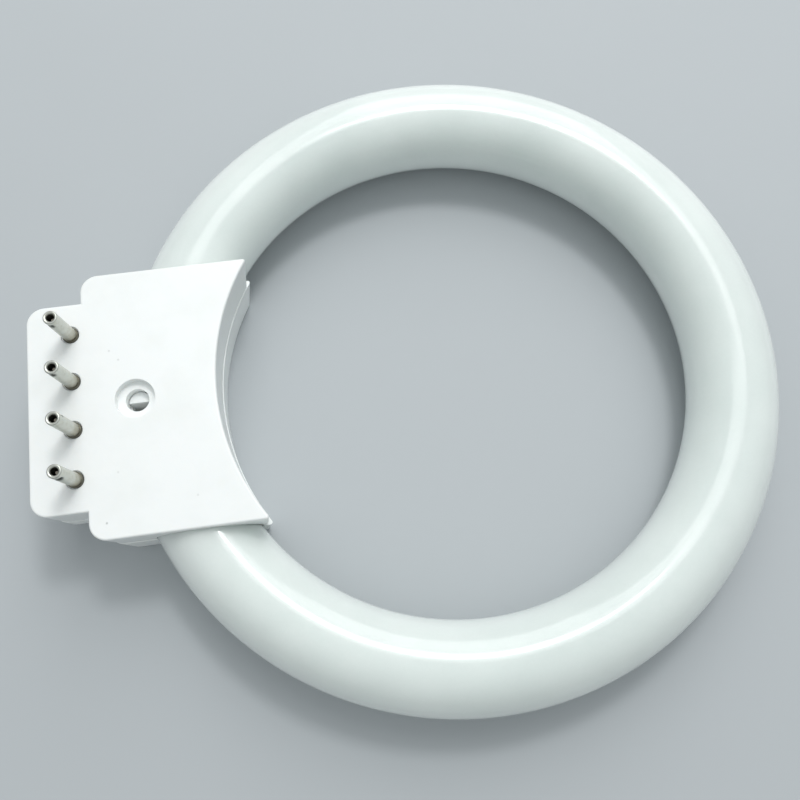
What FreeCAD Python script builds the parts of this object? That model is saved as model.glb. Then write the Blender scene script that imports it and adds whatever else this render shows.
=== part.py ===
import FreeCAD, Part
import math
import os

# A small circular fluorescent tube with a moulded base and four contact pins in a row.
# Millimetres. The origin is the centre of the ring, in the plane of the tube's centreline.
# +Z points the way the pins do, and the base stands on the -X side.

# Glass ring
RING_RADIUS = 52.0          # to the centreline of the tube
TUBE_RADIUS = 8.0
END_GAP = 17.2              # between the two sealed ends, inside the base
END_ROUNDING = 2.4          # rolled edge of a sealed end
FUNNEL_MOUTH_RADIUS = 4.4   # hollow of the stem, open towards the base
FUNNEL_FLOOR_RADIUS = 3.4
FUNNEL_DEPTH = 4.0
TIP_OFF_RADIUS = 1.3        # stub of the exhaust tube, sealed round at its end
TIP_OFF_REACH = 1.6         # how far the stub stands out of the sealed end

# Base, outside
ROOF = 1.2                  # thickness of the flat top, and of the floor below
SEAT_GAP = 0.3              # free space between glass and moulding
MOUTH_GAP = 0.2             # free space round the glass where it enters the base
FRONT_WALL = 2.3            # from the glass to the concave face
BACK_REACH = 4.1            # from the ring's outside to the step
SHOULDER = 5.0              # how far the wide part stands out on each side of the pin shelf
SHELF_FLOOR_DROP = 4.0      # underside of the pin shelf below the ring's plane
CORNER_RADIUS = 3.0
UPPER_DRAFT = 0.3           # how far the upper sides fall back between top and joint line
UPPER_FRONT_DRAFT = 0.65    # the same for the concave front
LEDGE = 0.15                # how far the lower shell stands proud of the upper one at the joint
LOWER_DRAFT = 0.2           # how far the lower sides fall back between joint line and floor
LOWER_FRONT_DRAFT = 1.0     # the same for the concave front
TIP_ROUNDING = 0.4          # of the two tips beside the front, at the top and below the joint
UPPER_TIP_ROUNDING = 0.85   # of the upper shell's tips at the joint line
FLOOR_TIP_ROUNDING = 0.9    # of the lower shell's tips at the floor
EDGE_ROUNDING = 0.35
FLOOR_ROUNDING = 0.7        # of the edges round the floor
WALL = 2.0                  # measured inwards from the outline of the top

# Base, inside
RIB_THICKNESS = 1.2
PEG_RADIUS = 1.1
PEG_HEIGHT = 4.0
PEG_BOSS_RADIUS = 1.9
PEG_BOSS_INSET = 1.6        # from both walls of the corner that the boss stands in
PEG_CLEARANCE = 0.1

# Counterbored hole in the top and the half-round post that stands in it
HOLE_BACK = 8.6             # from the step to the middle of the hole
HOLE_RADIUS = 2.0
COUNTERBORE_RADIUS = 3.4
COUNTERBORE_DEPTH = 1.5
HOLE_BOSS_RADIUS = 4.6
HOLE_BOSS_DEPTH = 2.4       # solid under the floor of the counterbore
POST_RADIUS = 3.0
POST_CLEARANCE = 0.12
POST_TOP_BELOW_FLOOR = 1.6  # half-round top of the post below the counterbore's floor
WELL_DEPTH = 11.0           # open half of the post, below the underside of the hole's boss

# Contact pins
PIN_PITCH = 8.5
PIN_RADIUS = 1.175
PIN_WALL = 0.3
PIN_HEIGHT = 8.7            # above the flat top
PIN_FROM_STEP = 1.9
PIN_FROM_BACK = 7.5         # to the straight outer end of the pin shelf
PIN_FROM_SIDE = 5.65        # outermost pin to the side of the pin shelf
PIN_LIP_ROUNDING = 0.2
PIN_SHOULDER_RADIUS = 1.35  # thicker foot of a pin, held in the moulding
PIN_SHOULDER_RISE = 0.15    # top of the foot above the flat top
PIN_CLEARANCE = 0.04
PIN_RECESS_RADIUS = 1.6     # shallow ring in the flat top round the foot of a pin
PIN_RECESS_DEPTH = 0.4
PIN_BOSS_RADIUS = 2.6
PIN_BOSS_DEPTH = 3.5        # from the flat top to the underside of the boss
PIN_FLANGE_RADIUS = 1.9
PIN_FLANGE_THICKNESS = 0.6
PIN_TAIL = 0.8              # below the flange
CRIMP_RADIUS = 0.5
CRIMP_BELOW_TIP = 1.4
CRIMP_SIDES = (-92, 60, -157, -135)     # one for each pin, in degrees from +X

# Lead wires
WIRE_RADIUS = 0.25
WIRE_SPREAD = 2.4           # of the two wires from the tube's centreline
WIRE_BEND = 1.4
WIRE_BELOW_TIP = 1.3        # end of a wire below the open tip of its pin
WIRE_ROOT = 0.1             # from the funnel's floor to the start of a wire

HALF_HEIGHT = TUBE_RADIUS + SEAT_GAP + ROOF
CONCAVE_RADIUS = RING_RADIUS - TUBE_RADIUS - FRONT_WALL
PIN_COUNT = len(CRIMP_SIDES)
SHELF_WIDTH = PIN_PITCH * (PIN_COUNT - 1) + 2 * PIN_FROM_SIDE
BODY_WIDTH = SHELF_WIDTH + 2 * SHOULDER
STEP_X = -(RING_RADIUS + TUBE_RADIUS + BACK_REACH)
PIN_X = STEP_X - PIN_FROM_STEP
SHELF_X = PIN_X - PIN_FROM_BACK
HOLE_X = STEP_X + HOLE_BACK
END_ANGLE = math.degrees(math.asin(END_GAP / 2 / RING_RADIUS))
MOUTH_ANGLE = math.degrees(math.asin(BODY_WIDTH / 2 / RING_RADIUS))
RIB_ANGLE = (END_ANGLE + MOUTH_ANGLE) / 2
CEILING = HALF_HEIGHT - ROOF
COUNTERBORE_FLOOR = HALF_HEIGHT - COUNTERBORE_DEPTH
HOLE_BOSS_BOTTOM = COUNTERBORE_FLOOR - HOLE_BOSS_DEPTH
POST_SEAT = HOLE_BOSS_BOTTOM - SEAT_GAP
RIM_INSET = UPPER_DRAFT - LEDGE
RIM_FRONT_INSET = UPPER_FRONT_DRAFT - LEDGE
FLOOR_INSET = RIM_INSET + LOWER_DRAFT
FLOOR_FRONT_INSET = RIM_FRONT_INSET + LOWER_FRONT_DRAFT
PIN_BOSS_BOTTOM = HALF_HEIGHT - PIN_BOSS_DEPTH
PIN_TIP = HALF_HEIGHT + PIN_HEIGHT

UP = FreeCAD.Vector(0, 0, 1)
OVERLAP = 1.0               # how far a shape runs past the face that it joins or cuts


def point(x, y, z=0.0):
    return FreeCAD.Vector(x, y, z)


def on_ring(angle, radius, z=0.0):
    """Point at an angle in degrees from the -X axis, turning towards +Y."""
    turn = math.radians(angle)
    return point(-radius * math.cos(turn), radius * math.sin(turn), z)


def cylinder(radius, x, y, bottom, top):
    return Part.makeCylinder(radius, top - bottom, point(x, y, bottom), UP)


def round_corner(x, y, radius, from_direction, to_direction):
    """Quarter arc that cuts the corner at x, y, between two edge directions."""
    corner = point(x, y)
    start = corner - from_direction * radius
    end = corner + to_direction * radius
    centre = corner - from_direction * radius + to_direction * radius
    middle = centre + (corner - centre) * (radius / (corner - centre).Length)
    return start, Part.Arc(start, middle, end).toShape(), end


def straight_back(x, half_width, front_x, inset):
    """Edges round a straight back with rounded corners, from one front end to the other."""
    radius = max(CORNER_RADIUS - inset, EDGE_ROUNDING)
    ahead = point(0, 1)
    low = round_corner(x, -half_width, radius, point(-1, 0), ahead)
    high = round_corner(x, half_width, radius, ahead, point(1, 0))
    return [
        Part.makeLine(point(front_x, -half_width), low[0]),
        low[1],
        Part.makeLine(low[2], high[0]),
        high[1],
        Part.makeLine(high[2], point(front_x, half_width)),
    ]


def rounded_tip(side, half_width, front, radius):
    """Arc that rounds the tip between a side and the concave front, and its two ends."""
    reach = front + radius
    across = half_width - radius
    centre = point(-math.sqrt(reach ** 2 - across ** 2), side * across)
    on_side = point(centre.x, side * half_width)
    on_front = centre * (front / reach)
    tip = point(-math.sqrt(front ** 2 - half_width ** 2), side * half_width)
    middle = centre + (tip - centre).normalize() * radius
    return on_side, Part.Arc(on_side, middle, on_front).toShape(), on_front


def body_outline(z, inset, front_inset, tip_radius=TIP_ROUNDING):
    """Closed plan outline of the wide part at height z, with its concave front."""
    half_width = BODY_WIDTH / 2 - inset
    front = CONCAVE_RADIUS + front_inset
    low = rounded_tip(-1, half_width, front, tip_radius)
    high = rounded_tip(1, half_width, front, tip_radius)
    edges = straight_back(STEP_X + inset, half_width, low[0].x, inset)
    edges.append(high[1])
    edges.append(Part.Arc(high[2], point(-front, 0), low[2]).toShape())
    edges.append(low[1])
    wire = Part.Wire(edges)
    wire.translate(point(0, 0, z))
    return wire


def shelf_outline(z, inset):
    """Closed plan outline of the pin shelf at height z, which runs on into the wide part."""
    half_width = SHELF_WIDTH / 2 - inset
    edges = straight_back(SHELF_X + inset, half_width, HOLE_X, inset)
    edges.append(Part.makeLine(point(HOLE_X, half_width), point(HOLE_X, -half_width)))
    wire = Part.Wire(edges)
    wire.translate(point(0, 0, z))
    return wire


def tapered_block(lower_outline, upper_outline):
    return Part.makeLoft([lower_outline, upper_outline], True, True)


def upright_block(outline, height):
    return Part.Face(outline).extrude(UP * height)


def half_cylinder(side, radius, bottom, top):
    """The half of the hole's cylinder that lies on one side of the middle plane."""
    whole = cylinder(radius, HOLE_X, 0, bottom, top)
    corner = point(HOLE_X - radius, min(side * radius, 0), bottom)
    return whole.common(Part.makeBox(2 * radius, radius, top - bottom, corner))


def edges_at_height(solid, z):
    """Edges of the solid that lie in the level plane at z."""
    found = []
    for edge in solid.Edges:
        box = edge.BoundBox
        if abs(box.ZMin - z) < 1e-4 and abs(box.ZMax - z) < 1e-4:
            found.append(edge)
    return found


def ring_sector(radius):
    """Round bar bent to the ring, from one sealed end all the way to the other."""
    circle = Part.Wire(Part.makeCircle(radius, point(-RING_RADIUS, 0), point(0, 1)))
    sector = Part.Face(circle).revolve(point(0, 0), UP, 360 - 2 * END_ANGLE)
    sector.rotate(point(0, 0), UP, END_ANGLE)
    return sector


def glass_bore():
    """Room for the glass where it passes through walls and ribs."""
    return ring_sector(TUBE_RADIUS + MOUTH_GAP)


def saddle_rib(side, bottom, top):
    """Upright plate across the tube's path, half-way from a sealed end to the side of the base."""
    start = CONCAVE_RADIUS + WALL / 2
    reach = 2 * (TUBE_RADIUS + BACK_REACH)
    plate = Part.makeBox(reach, RIB_THICKNESS, top - bottom, point(start, -RIB_THICKNESS / 2, bottom))
    plate.rotate(point(0, 0), UP, 180 - side * RIB_ANGLE)
    half_way_into_wall = body_outline(bottom, WALL / 2, FLOOR_FRONT_INSET + WALL / 2)
    return plate.common(upright_block(half_way_into_wall, top - bottom))


def peg_place(side):
    x = STEP_X + WALL + PEG_BOSS_INSET
    y = side * (BODY_WIDTH / 2 - WALL - PEG_BOSS_INSET)
    return x, y


def pin_places():
    first = -PIN_PITCH * (PIN_COUNT - 1) / 2
    return [first + PIN_PITCH * number for number in range(PIN_COUNT)]


def make_glass_ring():
    """Closed glass tube bent to a ring, with a stem hollow and a sealed stub at each end."""
    ring = ring_sector(TUBE_RADIUS)
    rim_length = 2 * math.pi * TUBE_RADIUS
    end_rims = [edge for edge in ring.Edges if abs(edge.Length - rim_length) < 1e-3]
    ring = ring.makeFillet(END_ROUNDING, end_rims)
    for side in (-1, 1):
        face_centre = on_ring(side * END_ANGLE, RING_RADIUS)
        inwards = point(math.sin(math.radians(END_ANGLE)), side * math.cos(math.radians(END_ANGLE)))
        funnel = Part.makeCone(
            FUNNEL_MOUTH_RADIUS, FUNNEL_FLOOR_RADIUS, FUNNEL_DEPTH, face_centre, inwards
        )
        stub_length = FUNNEL_DEPTH + TIP_OFF_REACH
        stub_start = face_centre - inwards * TIP_OFF_REACH
        stub = Part.makeCylinder(TIP_OFF_RADIUS, stub_length + EDGE_ROUNDING, stub_start, inwards)
        round_end = Part.makeSphere(TIP_OFF_RADIUS, stub_start)
        ring = ring.cut(funnel).fuse(stub).fuse(round_end)
    return ring.removeSplitter()


def make_upper_shell():
    """Flat top with its walls, the pin bosses, the counterbored hole and the sockets."""
    joint_line = body_outline(0, UPPER_DRAFT, UPPER_FRONT_DRAFT, UPPER_TIP_ROUNDING)
    body = tapered_block(joint_line, body_outline(HALF_HEIGHT, 0, 0))
    shelf = tapered_block(shelf_outline(0, UPPER_DRAFT), shelf_outline(HALF_HEIGHT, 0))
    shell = body.fuse(shelf).removeSplitter()
    shell = shell.makeFillet(EDGE_ROUNDING, edges_at_height(shell, HALF_HEIGHT))
    for outline in (body_outline(0, WALL, WALL), shelf_outline(0, WALL)):
        shell = shell.cut(upright_block(outline, CEILING))
    additions = [cylinder(HOLE_BOSS_RADIUS, HOLE_X, 0, HOLE_BOSS_BOTTOM, CEILING + ROOF / 2)]
    for y in pin_places():
        additions.append(cylinder(PIN_BOSS_RADIUS, PIN_X, y, PIN_BOSS_BOTTOM, CEILING + ROOF / 2))
    for side in (-1, 1):
        additions.append(saddle_rib(side, 0, CEILING + ROOF / 2))
        x, y = peg_place(side)
        additions.append(cylinder(PEG_BOSS_RADIUS, x, y, 0, CEILING + ROOF / 2))
    shell = shell.fuse(additions)
    removals = [
        glass_bore(),
        cylinder(COUNTERBORE_RADIUS, HOLE_X, 0, COUNTERBORE_FLOOR, PIN_TIP),
        cylinder(HOLE_RADIUS, HOLE_X, 0, 0, PIN_TIP),
    ]
    for y in pin_places():
        removals.append(cylinder(PIN_SHOULDER_RADIUS + PIN_CLEARANCE, PIN_X, y, 0, PIN_TIP))
        removals.append(cylinder(PIN_RECESS_RADIUS, PIN_X, y, HALF_HEIGHT - PIN_RECESS_DEPTH, PIN_TIP))
    for side in (-1, 1):
        x, y = peg_place(side)
        socket_radius = PEG_RADIUS + PEG_CLEARANCE
        removals.append(cylinder(socket_radius, x, y, -OVERLAP, PEG_HEIGHT + PEG_CLEARANCE))
    return shell.cut(removals).removeSplitter()


def make_lower_shell():
    """Tub under the ring, shallower under the pin shelf, with saddles, pegs and the post."""
    shelf_inset = RIM_INSET + LOWER_DRAFT * SHELF_FLOOR_DROP / HALF_HEIGHT
    floor_line = body_outline(-HALF_HEIGHT, FLOOR_INSET, FLOOR_FRONT_INSET, FLOOR_TIP_ROUNDING)
    tub = tapered_block(floor_line, body_outline(0, RIM_INSET, RIM_FRONT_INSET))
    shelf = tapered_block(shelf_outline(-SHELF_FLOOR_DROP, shelf_inset), shelf_outline(0, RIM_INSET))
    shell = tub.fuse(shelf).removeSplitter()
    shell = shell.makeFillet(FLOOR_ROUNDING, edges_at_height(shell, -HALF_HEIGHT))
    shell = shell.makeFillet(EDGE_ROUNDING, edges_at_height(shell, -SHELF_FLOOR_DROP))
    inset = FLOOR_INSET + WALL
    shelf_depth = SHELF_FLOOR_DROP - ROOF
    shell = shell.cut(upright_block(body_outline(-CEILING, inset, FLOOR_FRONT_INSET + WALL), CEILING))
    shell = shell.cut(upright_block(shelf_outline(-shelf_depth, inset), shelf_depth))
    additions = [cylinder(POST_RADIUS, HOLE_X, 0, -HALF_HEIGHT + ROOF / 2, POST_SEAT)]
    for side in (-1, 1):
        additions.append(saddle_rib(side, -HALF_HEIGHT + ROOF / 2, 0))
        x, y = peg_place(side)
        additions.append(cylinder(PEG_BOSS_RADIUS, x, y, -HALF_HEIGHT + ROOF / 2, 0))
        additions.append(cylinder(PEG_RADIUS, x, y, -OVERLAP, PEG_HEIGHT))
    post_radius = HOLE_RADIUS - POST_CLEARANCE
    post_top = COUNTERBORE_FLOOR - POST_TOP_BELOW_FLOOR
    additions.append(half_cylinder(1, post_radius, POST_SEAT - OVERLAP, post_top))
    well = half_cylinder(-1, post_radius, POST_SEAT - WELL_DEPTH, POST_SEAT)
    return shell.fuse(additions).cut([glass_bore(), well]).removeSplitter()


def make_pin(y, crimp_side):
    """Thin-walled tube with a rolled lip, a crimp near its tip and a flange inside the base."""
    tail = PIN_BOSS_BOTTOM - PIN_FLANGE_THICKNESS - PIN_TAIL
    body = cylinder(PIN_RADIUS, PIN_X, y, tail, PIN_TIP)
    body = body.makeFillet(PIN_LIP_ROUNDING, edges_at_height(body, PIN_TIP))
    flange_bottom = PIN_BOSS_BOTTOM - PIN_FLANGE_THICKNESS
    flange = cylinder(PIN_FLANGE_RADIUS, PIN_X, y, flange_bottom, PIN_BOSS_BOTTOM)
    bore = cylinder(PIN_RADIUS - PIN_WALL, PIN_X, y, tail - OVERLAP, PIN_TIP + OVERLAP)
    foot = cylinder(PIN_SHOULDER_RADIUS, PIN_X, y, flange_bottom, HALF_HEIGHT + PIN_SHOULDER_RISE)
    tube = body.fuse([flange, foot]).cut(bore)
    turn = math.radians(crimp_side)
    sideways = point(math.cos(turn), math.sin(turn))
    crimp_centre = point(PIN_X, y, PIN_TIP - CRIMP_BELOW_TIP) + sideways * PIN_RADIUS
    core = cylinder(PIN_RADIUS - PIN_WALL / 2, PIN_X, y, tail, PIN_TIP)
    bump = core.common(Part.makeSphere(CRIMP_RADIUS + PIN_WALL, crimp_centre, sideways))
    dent = Part.makeSphere(CRIMP_RADIUS, crimp_centre, sideways)
    return tube.fuse(bump).cut(dent).removeSplitter()


def bent_wire(points, radius, bend):
    """Round wire along straight runs that are joined by tangent arcs."""
    edges = []
    start = points[0]
    for index in range(1, len(points) - 1):
        corner = points[index]
        back = (points[index - 1] - corner).normalize()
        ahead = (points[index + 1] - corner).normalize()
        half_turn = (math.pi - back.getAngle(ahead)) / 2
        trim = bend * math.tan(half_turn)
        enter = corner + back * trim
        leave = corner + ahead * trim
        inside = (back + ahead).normalize()
        middle = corner + inside * (bend / math.cos(half_turn) - bend)
        edges.append(Part.makeLine(start, enter))
        edges.append(Part.Arc(enter, middle, leave).toShape())
        start = leave
    edges.append(Part.makeLine(start, points[-1]))
    path = Part.Wire(edges)
    direction = points[1] - points[0]
    section = Part.Wire(Part.makeCircle(radius, points[0], direction))
    return path.makePipeShell([section], True, False)


def make_lead_wire(side, pin_y, offset):
    """Wire from the stem of one sealed end to the crimp of its pin."""
    turn = math.radians(END_ANGLE)
    outwards = point(-math.sin(turn), -side * math.cos(turn))
    stem = on_ring(side * END_ANGLE, RING_RADIUS + offset)
    start = stem - outwards * (FUNNEL_DEPTH - WIRE_ROOT)
    clear_of_end = stem + outwards * (TIP_OFF_REACH + TIP_OFF_RADIUS + 2 * WIRE_RADIUS)
    turn_up = point(PIN_X, pin_y)
    end = point(PIN_X, pin_y, PIN_TIP - WIRE_BELOW_TIP)
    return bent_wire([start, clear_of_end, turn_up, end], WIRE_RADIUS, WIRE_BEND)


def export(shape, name):
    if not shape.isValid() or len(shape.Solids) != 1:
        raise RuntimeError(name + " is not one sound solid")
    shape.Solids[0].exportStep("parts/" + name + ".step")


def main():
    os.makedirs("parts", exist_ok=True)
    export(make_glass_ring(), "glass_ring")
    export(make_upper_shell(), "upper_base_shell")
    export(make_lower_shell(), "lower_base_shell")
    for number, y in enumerate(pin_places(), start=1):
        export(make_pin(y, CRIMP_SIDES[number - 1]), "contact_pin_" + str(number))
        side = 1 if y > 0 else -1
        is_outer_pin = abs(y) > PIN_PITCH
        offset = WIRE_SPREAD if is_outer_pin else -WIRE_SPREAD
        export(make_lead_wire(side, y, offset), "lead_wire_" + str(number))


main()
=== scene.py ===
import math

import bmesh
import bpy
from bpy.props import FloatProperty, FloatVectorProperty, IntProperty, PointerProperty
from mathutils import Matrix, Vector


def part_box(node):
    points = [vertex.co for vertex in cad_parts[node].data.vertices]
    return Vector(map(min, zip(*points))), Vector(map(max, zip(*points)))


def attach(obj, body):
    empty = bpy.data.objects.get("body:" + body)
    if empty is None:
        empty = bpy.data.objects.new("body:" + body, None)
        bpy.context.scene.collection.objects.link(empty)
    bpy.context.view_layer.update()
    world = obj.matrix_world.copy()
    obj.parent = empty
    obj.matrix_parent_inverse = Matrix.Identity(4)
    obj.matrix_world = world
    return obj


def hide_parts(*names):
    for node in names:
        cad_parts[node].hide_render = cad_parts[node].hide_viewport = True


bl_info = {
    "name": "Circular fluorescent tube",
    "version": (1, 0, 0),
    "blender": (4, 5, 0),
    "location": "3D View > Sidebar > Ring tube",
    "description": "Makes the glass ring and the contacts, finishes the moulded base, and sets a studio",
    "category": "Object",
}

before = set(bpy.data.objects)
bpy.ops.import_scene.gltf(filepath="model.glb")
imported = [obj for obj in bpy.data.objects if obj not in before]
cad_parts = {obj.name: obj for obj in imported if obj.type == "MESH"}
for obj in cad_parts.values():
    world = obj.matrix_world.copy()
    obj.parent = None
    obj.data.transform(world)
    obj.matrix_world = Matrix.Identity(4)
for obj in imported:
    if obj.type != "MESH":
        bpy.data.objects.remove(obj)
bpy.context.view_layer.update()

MM = 0.001
GLASS_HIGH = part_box("glass_ring")[1]
BASE_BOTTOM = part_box("lower_base_shell")[0].z
FLAT_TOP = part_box("upper_base_shell")[1].z
TUBE_RADIUS = GLASS_HIGH.z
RING_RADIUS = GLASS_HIGH.x - TUBE_RADIUS

SHELL_NODES = ["upper_base_shell", "lower_base_shell"]
WIRE_NODES = ["lead_wire_1", "lead_wire_2", "lead_wire_3", "lead_wire_4"]

SAME_PLACE = 0.001 * MM                 # points nearer than this count as one
SHARPEST_SMOOTH = math.radians(32)      # an edge that turns by less than this is shaded smooth

# Sealed ends of the glass
END_ROUNDING = 2.4 * MM
RIM_STEPS = 8
FUNNEL_MOUTH_RADIUS = 4.4 * MM
FUNNEL_FLOOR_RADIUS = 3.4 * MM
FUNNEL_DEPTH = 4.0 * MM
STUB_RADIUS = 1.3 * MM
STUB_REACH = 1.6 * MM
STUB_TIP_STEPS = 6

# Specks on the flat top: x, y and how dark each one is
SPECKS = [
    (-61.1 * MM, -20.6 * MM, 0.4),
    (-59.5 * MM, 9.0 * MM, 0.2),
    (-58.0 * MM, 7.2 * MM, 0.2),
    (-46.1 * MM, -17.9 * MM, 0.15),
    (-58.9 * MM, -12.4 * MM, 0.15),
]
SPECK_REACH = (0.1 * MM, 0.26 * MM)     # from its middle, fully dark and no longer seen

# Contact pins, radii from a pin's axis
PIN_RADIUS = 1.175 * MM
PIN_BORE_RADIUS = 0.875 * MM
PIN_MOUTH_RADIUS = 0.62 * MM        # of the rolled-in tip
PIN_LIP_ROUNDING = 0.2 * MM
PIN_MOUTH_DEPTH = 0.8 * MM          # from the tip to the full bore
PIN_FOOT_RADIUS = 1.35 * MM
PIN_FOOT_RISE = 0.15 * MM           # top of the foot above the flat top
PIN_FOOT_EDGE = 0.08 * MM
PIN_FLANGE_RADIUS = 1.9 * MM
PIN_FLANGE_THICKNESS = 0.6 * MM
PIN_TAIL = 0.8 * MM                 # below the flange
PIN_WALL_ROWS = 40                  # rows of faces along a pin's wall
PIN_LIP_STEPS = 5
CRIMP_DEPTH = 0.42 * MM
CRIMP_REACH = 0.75 * MM             # from the middle of a crimp to where the wall is round again
CRIMP_PUNCH_RADIUS = 0.2 * MM
CRIMP_SHADE_REACH = (0.5 * MM, 0.8 * MM)    # from its middle, fully dark and no longer seen
WARM_PLATING_RISE = 4 * MM          # thin plating ends this far above the flat top
FOOT_SHADE_RISE = 0.5 * MM               # the painted shade ring at the foot ends this far above the flat top

# Where each pin's crimp is: its side in degrees from +X, and how far below the tip
CRIMPS = {
    "contact_pin_1": (-80, 1.6 * MM),
    "contact_pin_2": (60, 1.4 * MM),
    "contact_pin_3": (-104, 1.0 * MM),
    "contact_pin_4": (-108, 1.3 * MM),
}

# Where the photograph was taken from, worked out from the outlines of the ring and the base
CAMERA_PLACE = (-18.16 * MM, -39.52 * MM, 139.35 * MM)
CAMERA_TURN = (0.254, -0.0383, -0.1328)     # rotation vector from looking straight down, in radians
CAMERA_SENSOR = 36.0                        # width in mm
CAMERA_LENS = 35.28

# Lights: degrees from +X towards +Y, degrees above the floor, distance, and width and height, in metres
WINDOW_LIGHT = (75, 49, 0.8, (0.52, 0.78))
CEILING_LAMP = (67, 63, 0.6, (0.12, 0.09))

# Colours that no setting changes
DARK_SPOT = "5A5C57"
# painted shade for the ring where each pin's foot leaves the plastic
FOOT_PAINTED_SHADE = "6C6A5E"
WARM_TIN = "A49A8A"
ROOM_WHITE = "F0F5F6"


def linear(hex_colour):
    """A colour written as sRGB hex, turned to linear red, green, blue and alpha."""
    values = [int(hex_colour[place:place + 2], 16) / 255 for place in (0, 2, 4)]
    return [v / 12.92 if v <= 0.04045 else ((v + 0.055) / 1.055) ** 2.4 for v in values] + [1.0]


class GlassSettings(bpy.types.PropertyGroup):
    ring_radius: FloatProperty(
        name="Ring radius", description="From the ring's centre to the tube's centreline",
        default=RING_RADIUS, unit="LENGTH")
    tube_radius: FloatProperty(
        name="Tube radius", description="Outside radius of the glass",
        default=TUBE_RADIUS, unit="LENGTH")
    end_gap: FloatProperty(
        name="End gap", description="Between the two sealed ends, inside the base",
        default=17.2 * MM, unit="LENGTH")
    steps_round: IntProperty(
        name="Steps round the tube", description="Sides of the tube's cross-section", default=64, min=16)
    steps_along: IntProperty(
        name="Steps along the ring", description="Sections from one sealed end to the other",
        default=240, min=24)
    coating: FloatVectorProperty(
        name="Coating", description="Colour of the phosphor seen through the glass",
        subtype="COLOR", size=4, min=0, max=1, default=linear("E4EBE8"))
    thin_coating: FloatVectorProperty(
        name="Thin coating", description="Colour where the phosphor lies thinner",
        subtype="COLOR", size=4, min=0, max=1, default=linear("DCE4E1"))


class BaseSettings(bpy.types.PropertyGroup):
    plastic: FloatVectorProperty(
        name="Plastic", description="Colour of the moulded base",
        subtype="COLOR", size=4, min=0, max=1, default=linear("F5F8F7"))
    dull_plastic: FloatVectorProperty(
        name="Handled plastic", description="Colour where the moulding has been handled",
        subtype="COLOR", size=4, min=0, max=1, default=linear("F0F3F1"))
    grain: FloatProperty(
        name="Grain", description="Spacing of the mould's fine texture", default=0.35 * MM, unit="LENGTH")


class ContactSettings(bpy.types.PropertyGroup):
    steps_round: IntProperty(
        name="Steps round a pin", description="Sides of a pin's wall", default=48, min=12)
    nickel: FloatVectorProperty(
        name="Nickel", description="Colour of the plating on the pins",
        subtype="COLOR", size=4, min=0, max=1, default=linear("CACCC5"))
    worn_plating: FloatVectorProperty(
        name="Worn plating", description="Colour where brass shows warm through the plating",
        subtype="COLOR", size=4, min=0, max=1, default=linear("A8A391"))
    wire: FloatVectorProperty(
        name="Lead wire", description="Colour of the tinned lead wires",
        subtype="COLOR", size=4, min=0, max=1, default=linear("8E8B85"))


class StageSettings(bpy.types.PropertyGroup):
    floor: FloatVectorProperty(
        name="Floor", description="Colour of the studio floor",
        subtype="COLOR", size=4, min=0, max=1, default=linear("B9BEC1"))
    floor_size: FloatProperty(
        name="Floor size", description="Side of the square floor", default=4.0, unit="LENGTH")
    window_power: FloatProperty(
        name="Window light", description="Power of the broad light behind the ring", default=3.2, min=0)
    lamp_power: FloatProperty(
        name="Ceiling lamp", description="Power of the small light above it, which draws the bright lines",
        default=0.75, min=0)
    ceiling_light: FloatProperty(
        name="Ceiling light", description="Strength of the room's light from straight above",
        default=0.8, min=0)
    horizon_light: FloatProperty(
        name="Horizon light", description="Strength of the room's light from the sides", default=0.24, min=0)


class RingTubeSettings(bpy.types.PropertyGroup):
    glass: PointerProperty(type=GlassSettings)
    base: PointerProperty(type=BaseSettings)
    contacts: PointerProperty(type=ContactSettings)
    stage: PointerProperty(type=StageSettings)


def add_node(tree, kind, inputs=None, **settings):
    """Adds a node, sets its properties, and sets or links its inputs."""
    node = tree.nodes.new(kind)
    for name, value in settings.items():
        setattr(node, name, value)
    for name, value in (inputs or {}).items():
        if isinstance(value, bpy.types.NodeSocket):
            tree.links.new(value, node.inputs[name])
        else:
            node.inputs[name].default_value = value
    return node


def new_material(name):
    material = bpy.data.materials.new(name)
    material.use_nodes = True
    material.node_tree.nodes.clear()
    return material, material.node_tree


def speck_and_shade_spot(tree, place, colour, centre, reach, strength):
    """Darkens a colour round one place, most of all within the first reach and not past the second."""
    away = add_node(tree, "ShaderNodeVectorMath", {0: place, 1: centre}, operation="DISTANCE")
    spot = add_node(tree, "ShaderNodeMapRange", {
        "Value": away.outputs["Value"], "From Min": reach[0], "From Max": reach[1],
        "To Min": strength, "To Max": 0.0})
    marked = add_node(tree, "ShaderNodeMix", {
        0: spot.outputs["Result"], 6: colour, 7: tuple(linear(DARK_SPOT))}, data_type="RGBA")
    return marked.outputs[2]


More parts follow.
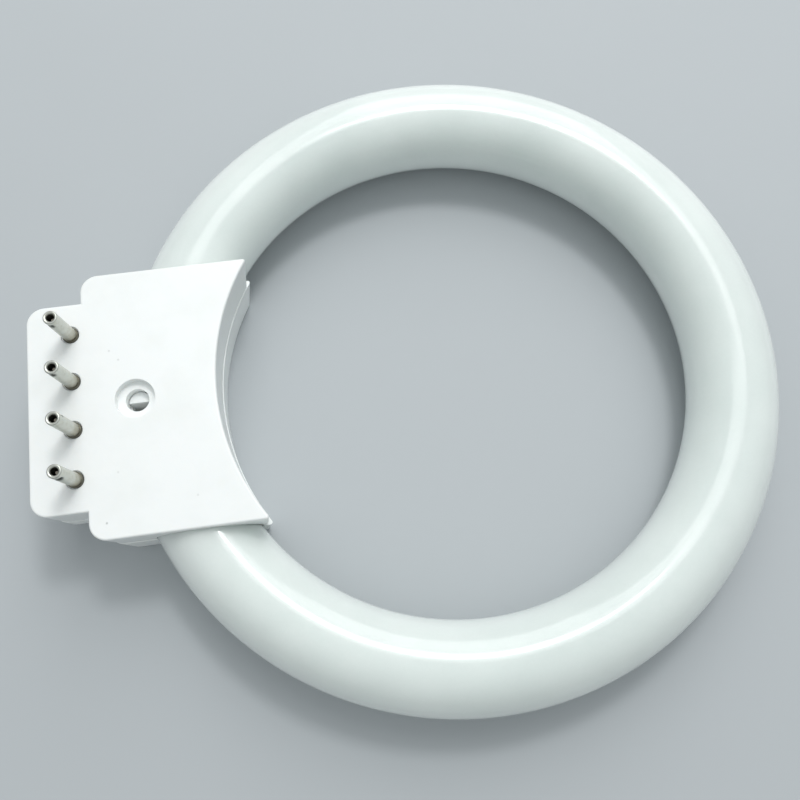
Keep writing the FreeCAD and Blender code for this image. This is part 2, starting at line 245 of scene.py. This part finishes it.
def coated_lamp_glass(settings):
    """Clear soda-lime tube over a fired phosphor coating.

    The powder gives a flat milky white with soft clouds where it lies thinner.
    The glass over it gives sharp bright lines, which waver a little where the tube was bent.
    """
    material, tree = new_material("soda_lime_glass_with_phosphor_coating")
    place = add_node(tree, "ShaderNodeTexCoord").outputs["Object"]
    clouds = add_node(tree, "ShaderNodeTexNoise", {
        "Vector": place, "Scale": 1 / (18 * MM), "Detail": 3.0, "Roughness": 0.5})
    powder = add_node(tree, "ShaderNodeTexNoise", {
        "Vector": place, "Scale": 1 / (0.6 * MM), "Detail": 2.0, "Roughness": 0.6})
    cover = add_node(tree, "ShaderNodeMapRange", {
        "Value": clouds.outputs["Fac"], "From Min": 0.35, "From Max": 0.7})
    coat = add_node(tree, "ShaderNodeMix", {
        0: cover.outputs["Result"], 6: tuple(settings.coating), 7: tuple(settings.thin_coating)},
        data_type="RGBA")
    speckle = add_node(tree, "ShaderNodeMapRange", {
        "Value": powder.outputs["Fac"], "From Min": 0.3, "From Max": 0.75, "To Min": 0.985, "To Max": 1.0})
    shade = add_node(tree, "ShaderNodeMix", {
        0: 1.0, 6: coat.outputs[2], 7: speckle.outputs["Result"]}, data_type="RGBA", blend_type="MULTIPLY")
    bends = add_node(tree, "ShaderNodeTexNoise", {
        "Vector": place, "Scale": 1 / (11 * MM), "Detail": 1.0, "Roughness": 0.4})
    wavering = add_node(tree, "ShaderNodeBump", {
        "Height": bends.outputs["Fac"], "Strength": 0.25, "Distance": 0.25 * MM})
    shader = add_node(tree, "ShaderNodeBsdfPrincipled", {
        "Base Color": shade.outputs[2], "Roughness": 0.5, "IOR": 1.52, "Specular IOR Level": 0.0,
        "Subsurface Weight": 0.85, "Subsurface Radius": (1.0, 1.0, 1.0), "Subsurface Scale": 6 * MM,
        "Coat Weight": 1.0, "Coat Roughness": 0.12, "Coat IOR": 1.52,
        "Normal": wavering.outputs["Normal"], "Coat Normal": wavering.outputs["Normal"]})
    add_node(tree, "ShaderNodeOutputMaterial", {"Surface": shader.outputs["BSDF"]})
    return material


def moulded_white_plastic(settings):
    """White heat-resistant polyester, injection moulded in a spark-eroded mould.

    It gives a clean satin white with a very fine grain, a little translucent at its edges,
    and faint patches of a duller sheen where it has been handled. A dark speck lies on the flat
    top by the corner of the wide part, with a few fainter ones.
    """
    material, tree = new_material("moulded_white_polyester")
    place = add_node(tree, "ShaderNodeTexCoord").outputs["Object"]
    handled = add_node(tree, "ShaderNodeTexNoise", {
        "Vector": place, "Scale": 1 / (9 * MM), "Detail": 4.0, "Roughness": 0.55})
    patch = add_node(tree, "ShaderNodeMapRange", {
        "Value": handled.outputs["Fac"], "From Min": 0.45, "From Max": 0.75})
    tone = add_node(tree, "ShaderNodeMix", {
        0: patch.outputs["Result"], 6: tuple(settings.plastic), 7: tuple(settings.dull_plastic)},
        data_type="RGBA")
    shown = tone.outputs[2]
    for x, y, strength in SPECKS:
        shown = speck_and_shade_spot(tree, place, shown, Vector((x, y, FLAT_TOP)), SPECK_REACH, strength)
    grain = add_node(tree, "ShaderNodeTexNoise", {
        "Vector": place, "Scale": 1 / settings.grain, "Detail": 2.0, "Roughness": 0.6})
    texture = add_node(tree, "ShaderNodeBump", {
        "Height": grain.outputs["Fac"], "Strength": 0.3, "Distance": 0.03 * MM})
    sheen = add_node(tree, "ShaderNodeMapRange", {
        "Value": handled.outputs["Fac"], "From Min": 0.3, "From Max": 0.75, "To Min": 0.36, "To Max": 0.52})
    shader = add_node(tree, "ShaderNodeBsdfPrincipled", {
        "Base Color": shown, "Roughness": sheen.outputs["Result"], "IOR": 1.57,
        "Subsurface Weight": 0.15, "Subsurface Radius": (1.0, 0.9, 0.8), "Subsurface Scale": 0.8 * MM,
        "Normal": texture.outputs["Normal"]})
    add_node(tree, "ShaderNodeOutputMaterial", {"Surface": shader.outputs["BSDF"]})
    return material


def nickel_plated_brass(settings):
    """Drawn brass tube with a thin nickel plating.

    It gives a soft grey metal with fine marks along the pin, a little uneven in its shine,
    a warm tint near the foot where the plating is thin, a painted shade ring where the foot leaves
    the plastic, and painted shade in the dint where the crimp was punched.
    """
    material, tree = new_material("nickel_plated_brass")
    place = add_node(tree, "ShaderNodeTexCoord").outputs["Object"]
    along = add_node(tree, "ShaderNodeMapping", {"Vector": place, "Scale": (1.0, 1.0, 0.08)})
    draw_marks = add_node(tree, "ShaderNodeTexNoise", {
        "Vector": along.outputs["Vector"], "Scale": 1 / (0.12 * MM), "Detail": 3.0, "Roughness": 0.6})
    tarnish = add_node(tree, "ShaderNodeTexNoise", {
        "Vector": place, "Scale": 1 / (1.1 * MM), "Detail": 3.0, "Roughness": 0.6})
    height = add_node(tree, "ShaderNodeSeparateXYZ", {"Vector": place})
    foot = add_node(tree, "ShaderNodeMapRange", {
        "Value": height.outputs["Z"], "From Min": FLAT_TOP, "From Max": FLAT_TOP + WARM_PLATING_RISE,
        "To Min": 0.55, "To Max": 0.0})
    worn = add_node(tree, "ShaderNodeMath", {
        0: foot.outputs["Result"], 1: tarnish.outputs["Fac"]}, operation="ADD")
    warmth = add_node(tree, "ShaderNodeMapRange", {
        "Value": worn.outputs["Value"], "From Min": 0.5, "From Max": 1.05, "To Min": 0.0, "To Max": 0.85})
    colour = add_node(tree, "ShaderNodeMix", {
        0: warmth.outputs["Result"], 6: tuple(settings.nickel), 7: tuple(settings.worn_plating)},
        data_type="RGBA")
    # painted shade: a dark ring where the foot leaves the plastic, fading out above it
    foot_shade_mask = add_node(tree, "ShaderNodeMapRange", {
        "Value": height.outputs["Z"],
        "From Min": FLAT_TOP + PIN_FOOT_RISE, "From Max": FLAT_TOP + FOOT_SHADE_RISE,
        "To Min": 0.75, "To Max": 0.0})
    foot_shaded = add_node(tree, "ShaderNodeMix", {
        0: foot_shade_mask.outputs["Result"], 6: colour.outputs[2], 7: tuple(linear(FOOT_PAINTED_SHADE))}, data_type="RGBA")
    shown = foot_shaded.outputs[2]
    # painted shade in each crimp's dint: the colour darkens round its middle
    for name in CRIMPS:
        middle = crimp_place(name)[0]
        shown = speck_and_shade_spot(tree, place, shown, middle, CRIMP_SHADE_REACH, 0.95)
    shine = add_node(tree, "ShaderNodeMapRange", {
        "Value": draw_marks.outputs["Fac"], "From Min": 0.3, "From Max": 0.7, "To Min": 0.32, "To Max": 0.5})
    texture = add_node(tree, "ShaderNodeBump", {
        "Height": draw_marks.outputs["Fac"], "Strength": 0.25, "Distance": 0.02 * MM})
    shader = add_node(tree, "ShaderNodeBsdfPrincipled", {
        "Base Color": shown, "Metallic": 1.0, "Roughness": shine.outputs["Result"],
        "Normal": texture.outputs["Normal"]})
    add_node(tree, "ShaderNodeOutputMaterial", {"Surface": shader.outputs["BSDF"]})
    return material


def tinned_lead_wire(settings):
    """Tinned copper wire.

    It gives a dull bright metal with a slightly lumpy skin where the tin has run.
    """
    material, tree = new_material("tinned_copper_wire")
    place = add_node(tree, "ShaderNodeTexCoord").outputs["Object"]
    tin = add_node(tree, "ShaderNodeTexNoise", {
        "Vector": place, "Scale": 1 / (0.5 * MM), "Detail": 2.0, "Roughness": 0.5})
    shine = add_node(tree, "ShaderNodeMapRange", {
        "Value": tin.outputs["Fac"], "From Min": 0.3, "From Max": 0.7, "To Min": 0.25, "To Max": 0.5})
    colour = add_node(tree, "ShaderNodeMix", {
        0: tin.outputs["Fac"], 6: tuple(settings.wire), 7: tuple(linear(WARM_TIN))}, data_type="RGBA")
    texture = add_node(tree, "ShaderNodeBump", {
        "Height": tin.outputs["Fac"], "Strength": 0.3, "Distance": 0.03 * MM})
    shader = add_node(tree, "ShaderNodeBsdfPrincipled", {
        "Base Color": colour.outputs[2], "Metallic": 1.0, "Roughness": shine.outputs["Result"],
        "Normal": texture.outputs["Normal"]})
    add_node(tree, "ShaderNodeOutputMaterial", {"Surface": shader.outputs["BSDF"]})
    return material


def studio_paper(settings):
    """Matt background paper, with only the faintest unevenness."""
    material, tree = new_material("matt_studio_paper")
    place = add_node(tree, "ShaderNodeTexCoord").outputs["Object"]
    fibres = add_node(tree, "ShaderNodeTexNoise", {
        "Vector": place, "Scale": 1 / (40 * MM), "Detail": 2.0})
    shade = add_node(tree, "ShaderNodeMapRange", {
        "Value": fibres.outputs["Fac"], "To Min": 0.985, "To Max": 1.015})
    colour = add_node(tree, "ShaderNodeMix", {
        0: 1.0, 6: tuple(settings.floor), 7: shade.outputs["Result"]},
        data_type="RGBA", blend_type="MULTIPLY")
    shader = add_node(tree, "ShaderNodeBsdfPrincipled", {
        "Base Color": colour.outputs[2], "Roughness": 0.9, "Specular IOR Level": 0.2})
    add_node(tree, "ShaderNodeOutputMaterial", {"Surface": shader.outputs["BSDF"]})
    return material


def finish_node(name, material):
    """Puts a material in every slot of a node that keeps its shape."""
    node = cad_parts[name]
    if not node.material_slots:
        node.data.materials.append(material)
    for slot in node.material_slots:
        slot.material = material


def select_where(test):
    """In edit mode, selects the vertices whose place passes the test, with the edges between them."""
    mesh = bmesh.from_edit_mesh(bpy.context.object.data)
    bpy.ops.mesh.select_mode(type="VERT")
    bpy.ops.mesh.select_all(action="DESELECT")
    for vertex in mesh.verts:
        if test(vertex.co):
            vertex.select_set(True)
    mesh.select_flush(True)
    bmesh.update_edit_mesh(bpy.context.object.data)


def ring_place(side, angle, radius):
    """Place on the ring's plane, at an angle from the middle of the base towards one side."""
    return Vector((-math.cos(angle), side * math.sin(angle), 0)) * radius


def sealed_end_stations(side, settings):
    """Places, angles and radii of the loops from the tube's wall to the tip of the exhaust stub.

    They go over the rolled rim to the flat end, into the stem's hollow and out along the stub.
    """
    end_angle = math.asin(settings.end_gap / 2 / settings.ring_radius)
    stations = []
    for step in range(RIM_STEPS + 1):
        turn = math.pi / 2 * step / RIM_STEPS
        angle = end_angle + END_ROUNDING * (1 - math.sin(turn)) / settings.ring_radius
        radius = settings.tube_radius - END_ROUNDING * (1 - math.cos(turn))
        stations.append((ring_place(side, angle, settings.ring_radius), angle, radius))
    end_centre = ring_place(side, end_angle, settings.ring_radius)
    outwards = Vector((-math.sin(end_angle), -side * math.cos(end_angle), 0))
    profile = [
        (0.0, FUNNEL_MOUTH_RADIUS),
        (-FUNNEL_DEPTH, FUNNEL_FLOOR_RADIUS),
        (-FUNNEL_DEPTH, STUB_RADIUS),
    ]
    for step in range(STUB_TIP_STEPS):
        turn = math.pi / 2 * step / STUB_TIP_STEPS
        profile.append((STUB_REACH + STUB_RADIUS * math.sin(turn), STUB_RADIUS * math.cos(turn)))
    for advance, radius in profile:
        stations.append((end_centre + outwards * advance, end_angle, radius))
    return stations


def close_tube_end(side, settings):
    """Carries the open loop at one end of the tube over the sealed end's stations and closes it."""
    stations = sealed_end_stations(side, settings)
    centre, angle, radius = stations[0]
    along = Vector((math.sin(angle), side * math.cos(angle), 0))
    reach = settings.tube_radius * 1.01
    select_where(
        lambda place: (place - centre).length < reach and abs((place - centre).dot(along)) < SAME_PLACE)
    for next_centre, next_angle, next_radius in stations[1:]:
        bpy.ops.mesh.extrude_region_move(TRANSFORM_OT_translate={"value": next_centre - centre})
        if next_angle != angle:
            bpy.ops.transform.rotate(
                value=side * (next_angle - angle), orient_axis="Z", center_override=next_centre)
        ratio = next_radius / radius
        bpy.ops.transform.resize(value=(ratio, ratio, ratio), center_override=next_centre)
        centre, angle, radius = next_centre, next_angle, next_radius
    bpy.ops.mesh.merge(type="CENTER")


class RINGTUBE_OT_make_glass(bpy.types.Operator):
    """Makes the bent glass tube with its two sealed ends"""
    bl_idname = "ringtube.make_glass"
    bl_label = "Make the glass ring"

    def execute(self, context):
        settings = context.scene.ring_tube.glass
        bpy.ops.object.select_all(action="DESELECT")
        centre, angle, radius = sealed_end_stations(1, settings)[0]
        bpy.ops.mesh.primitive_circle_add(
            vertices=settings.steps_round, radius=radius, location=centre,
            rotation=(math.pi / 2, 0, -angle))
        ring = context.object
        ring.name = "glass_tube"
        bpy.ops.object.transform_apply(location=True, rotation=True, scale=True)
        bpy.ops.object.mode_set(mode="EDIT")
        bpy.ops.mesh.select_all(action="SELECT")
        bpy.ops.mesh.spin(
            steps=settings.steps_along, angle=2 * (math.pi - angle), center=(0, 0, 0), axis=(0, 0, 1))
        for side in (1, -1):
            close_tube_end(side, settings)
        bpy.ops.mesh.select_all(action="SELECT")
        bpy.ops.mesh.remove_doubles(threshold=SAME_PLACE)
        bpy.ops.mesh.normals_make_consistent(inside=False)
        bpy.ops.object.mode_set(mode="OBJECT")
        bpy.ops.object.shade_smooth_by_angle(angle=SHARPEST_SMOOTH)
        ring.data.materials.append(coated_lamp_glass(settings))
        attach(ring, "root")
        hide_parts("glass_ring")
        return {"FINISHED"}


class RINGTUBE_OT_finish_base(bpy.types.Operator):
    """Gives the two shells of the base their moulded plastic"""
    bl_idname = "ringtube.finish_base"
    bl_label = "Finish the base"

    def execute(self, context):
        material = moulded_white_plastic(context.scene.ring_tube.base)
        for name in SHELL_NODES:
            finish_node(name, material)
        return {"FINISHED"}


def pin_axis(name):
    """Place on a pin's axis, in the ring's plane, and the heights of the pin's tail and tip."""
    low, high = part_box(name)
    middle = (low + high) / 2
    return Vector((middle.x, middle.y, 0)), low.z, high.z


def crimp_place(name):
    """Middle of a pin's crimp, on the outside of its wall, and the direction outwards there."""
    axis, _, tip = pin_axis(name)
    side, below_tip = CRIMPS[name]
    turn = math.radians(side)
    outwards = Vector((math.cos(turn), math.sin(turn), 0))
    return axis + outwards * PIN_RADIUS + Vector((0, 0, tip - below_tip)), outwards


def pin_section(tail, tip):
    """Closed outline of a pin's wall as radii and heights: up the outside, over the lip, down the bore."""
    flange = tail + PIN_TAIL
    foot_top = FLAT_TOP + PIN_FOOT_RISE
    lip_foot = tip - PIN_LIP_ROUNDING
    wall_height = lip_foot - foot_top
    outline = [
        (PIN_BORE_RADIUS, tail),
        (PIN_RADIUS, tail),
        (PIN_RADIUS, flange),
        (PIN_FLANGE_RADIUS, flange),
        (PIN_FLANGE_RADIUS, flange + PIN_FLANGE_THICKNESS),
        (PIN_FOOT_RADIUS, flange + PIN_FLANGE_THICKNESS),
        (PIN_FOOT_RADIUS, foot_top - PIN_FOOT_EDGE),
        (PIN_FOOT_RADIUS - PIN_FOOT_EDGE, foot_top),
    ]
    for row in range(PIN_WALL_ROWS + 1):
        outline.append((PIN_RADIUS, foot_top + wall_height * row / PIN_WALL_ROWS))
    roll = PIN_RADIUS - PIN_LIP_ROUNDING - PIN_MOUTH_RADIUS
    for step in range(1, PIN_LIP_STEPS + 1):
        turn = math.pi / 2 * step / PIN_LIP_STEPS
        outline.append((PIN_RADIUS - PIN_LIP_ROUNDING * (1 - math.cos(turn)),
                        lip_foot + PIN_LIP_ROUNDING * math.sin(turn)))
    for step in range(1, PIN_LIP_STEPS + 1):
        turn = math.pi / 2 * step / PIN_LIP_STEPS
        outline.append((PIN_MOUTH_RADIUS + roll * (1 - math.sin(turn)), tip - roll * (1 - math.cos(turn))))
    for row in range(PIN_WALL_ROWS + 1):
        outline.append((PIN_BORE_RADIUS, tip - PIN_MOUTH_DEPTH - wall_height * row / PIN_WALL_ROWS))
    return outline


def turn_pin(name, steps_round):
    """Turns a pin's outline once round its axis, and leaves the new mesh in edit mode."""
    axis, tail, tip = pin_axis(name)
    outline = pin_section(tail, tip)
    bpy.ops.object.select_all(action="DESELECT")
    bpy.ops.mesh.primitive_circle_add(vertices=len(outline), radius=PIN_RADIUS, location=(0, 0, 0))
    pin = bpy.context.object
    pin.name = name.replace("contact", "plated")
    for vertex, (radius, height) in zip(pin.data.vertices, outline):
        vertex.co = axis + Vector((radius, 0, height))
    bpy.ops.object.mode_set(mode="EDIT")
    bpy.ops.mesh.select_all(action="SELECT")
    bpy.ops.mesh.spin(steps=steps_round, angle=2 * math.pi, center=axis, axis=(0, 0, 1))
    bpy.ops.mesh.select_all(action="SELECT")
    bpy.ops.mesh.remove_doubles(threshold=SAME_PLACE)
    bpy.ops.mesh.normals_make_consistent(inside=False)
    return pin


def punch_crimp(name):
    """In edit mode, pushes a small dint into the side of a pin."""
    middle, outwards = crimp_place(name)
    select_where(lambda place: (place - middle).length < CRIMP_PUNCH_RADIUS)
    bpy.ops.transform.translate(
        value=-outwards * CRIMP_DEPTH, use_proportional_edit=True,
        proportional_edit_falloff="SMOOTH", proportional_size=CRIMP_REACH)


class RINGTUBE_OT_make_pins(bpy.types.Operator):
    """Makes the hollow contact pins with their rolled-in tips and punched crimps"""
    bl_idname = "ringtube.make_pins"
    bl_label = "Make the contact pins"

    def execute(self, context):
        settings = context.scene.ring_tube.contacts
        plating = nickel_plated_brass(settings)
        for name in CRIMPS:
            pin = turn_pin(name, settings.steps_round)
            punch_crimp(name)
            bpy.ops.object.mode_set(mode="OBJECT")
            bpy.ops.object.shade_smooth_by_angle(angle=SHARPEST_SMOOTH)
            pin.data.materials.append(plating)
            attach(pin, "root")
            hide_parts(name)
        return {"FINISHED"}


class RINGTUBE_OT_finish_wires(bpy.types.Operator):
    """Gives the lead wires their tin"""
    bl_idname = "ringtube.finish_wires"
    bl_label = "Finish the lead wires"

    def execute(self, context):
        tin = tinned_lead_wire(context.scene.ring_tube.contacts)
        for name in WIRE_NODES:
            finish_node(name, tin)
        return {"FINISHED"}


def add_soft_light(name, azimuth, elevation, distance, size, power):
    """Adds a rectangular light that faces the ring's centre, its width level."""
    level = math.radians(azimuth)
    up = math.radians(elevation)
    towards = Vector((math.cos(level) * math.cos(up), math.sin(level) * math.cos(up), math.sin(up)))
    data = bpy.data.lights.new(name, "AREA")
    data.shape = "RECTANGLE"
    data.size, data.size_y = size
    data.energy = power
    light = bpy.data.objects.new(name, data)
    light.location = towards * distance
    light.rotation_euler = towards.to_track_quat("Z", "Y").to_euler()
    bpy.context.scene.collection.objects.link(light)


def studio_room(settings):
    """Room light that grows from the horizon to the ceiling."""
    world = bpy.data.worlds.new("studio_room")
    world.use_nodes = True
    tree = world.node_tree
    tree.nodes.clear()
    towards = add_node(tree, "ShaderNodeTexCoord").outputs["Generated"]
    height = add_node(tree, "ShaderNodeSeparateXYZ", {"Vector": towards})
    strength = add_node(tree, "ShaderNodeMapRange", {
        "Value": height.outputs["Z"], "From Min": 0.0, "From Max": 1.0,
        "To Min": settings.horizon_light, "To Max": settings.ceiling_light})
    sky = add_node(tree, "ShaderNodeBackground", {
        "Color": tuple(linear(ROOM_WHITE)), "Strength": strength.outputs["Result"]})
    add_node(tree, "ShaderNodeOutputWorld", {"Surface": sky.outputs["Background"]})
    return world


def photograph_camera():
    """Camera at the photograph's place, turned the way it was turned."""
    turn = Vector(CAMERA_TURN)
    data = bpy.data.cameras.new("camera")
    data.sensor_width = CAMERA_SENSOR
    data.lens = CAMERA_LENS
    data.clip_start = 0.005
    data.clip_end = 20.0
    camera = bpy.data.objects.new("camera", data)
    camera.matrix_world = Matrix.Translation(CAMERA_PLACE) @ Matrix.Rotation(turn.length, 4, turn)
    bpy.context.scene.collection.objects.link(camera)
    return camera


class RINGTUBE_OT_set_stage(bpy.types.Operator):
    """Sets a pale floor, soft studio light and the photograph's camera round the lamp"""
    bl_idname = "ringtube.set_stage"
    bl_label = "Set the stage"

    def execute(self, context):
        settings = context.scene.ring_tube.stage
        bpy.ops.object.select_all(action="DESELECT")
        bpy.ops.mesh.primitive_plane_add(size=settings.floor_size, location=(0, 0, BASE_BOTTOM))
        floor = context.object
        floor.name = "studio_floor"
        bpy.ops.object.transform_apply(location=True, rotation=True, scale=True)
        floor.data.materials.append(studio_paper(settings))
        add_soft_light("window_light", *WINDOW_LIGHT, settings.window_power)
        add_soft_light("ceiling_lamp", *CEILING_LAMP, settings.lamp_power)
        context.scene.world = studio_room(settings)
        context.scene.view_settings.view_transform = "Standard"
        context.scene.camera = photograph_camera()
        return {"FINISHED"}


class RINGTUBE_PT_sidebar(bpy.types.Panel):
    """Lists the settings and steps of the ring tube"""
    bl_idname = "RINGTUBE_PT_sidebar"
    bl_label = "Circular fluorescent tube"
    bl_space_type = "VIEW_3D"
    bl_region_type = "UI"
    bl_category = "Ring tube"

    def draw(self, context):
        settings = context.scene.ring_tube
        for group, steps in (
            (settings.glass, ("ringtube.make_glass",)),
            (settings.base, ("ringtube.finish_base",)),
            (settings.contacts, ("ringtube.make_pins", "ringtube.finish_wires")),
            (settings.stage, ("ringtube.set_stage",)),
        ):
            box = self.layout.box()
            for name in group.bl_rna.properties.keys():
                if name not in ("rna_type", "name"):
                    box.prop(group, name)
            for step in steps:
                box.operator(step)


CLASSES = (
    GlassSettings,
    BaseSettings,
    ContactSettings,
    StageSettings,
    RingTubeSettings,
    RINGTUBE_OT_make_glass,
    RINGTUBE_OT_finish_base,
    RINGTUBE_OT_make_pins,
    RINGTUBE_OT_finish_wires,
    RINGTUBE_OT_set_stage,
    RINGTUBE_PT_sidebar,
)


def register():
    for cls in CLASSES:
        bpy.utils.register_class(cls)
    bpy.types.Scene.ring_tube = PointerProperty(type=RingTubeSettings)


def unregister():
    del bpy.types.Scene.ring_tube
    for cls in reversed(CLASSES):
        bpy.utils.unregister_class(cls)


def main():
    register()
    bpy.ops.ringtube.make_glass()
    bpy.ops.ringtube.finish_base()
    bpy.ops.ringtube.make_pins()
    bpy.ops.ringtube.finish_wires()
    bpy.ops.ringtube.set_stage()


if __name__ == "__main__":
    main()
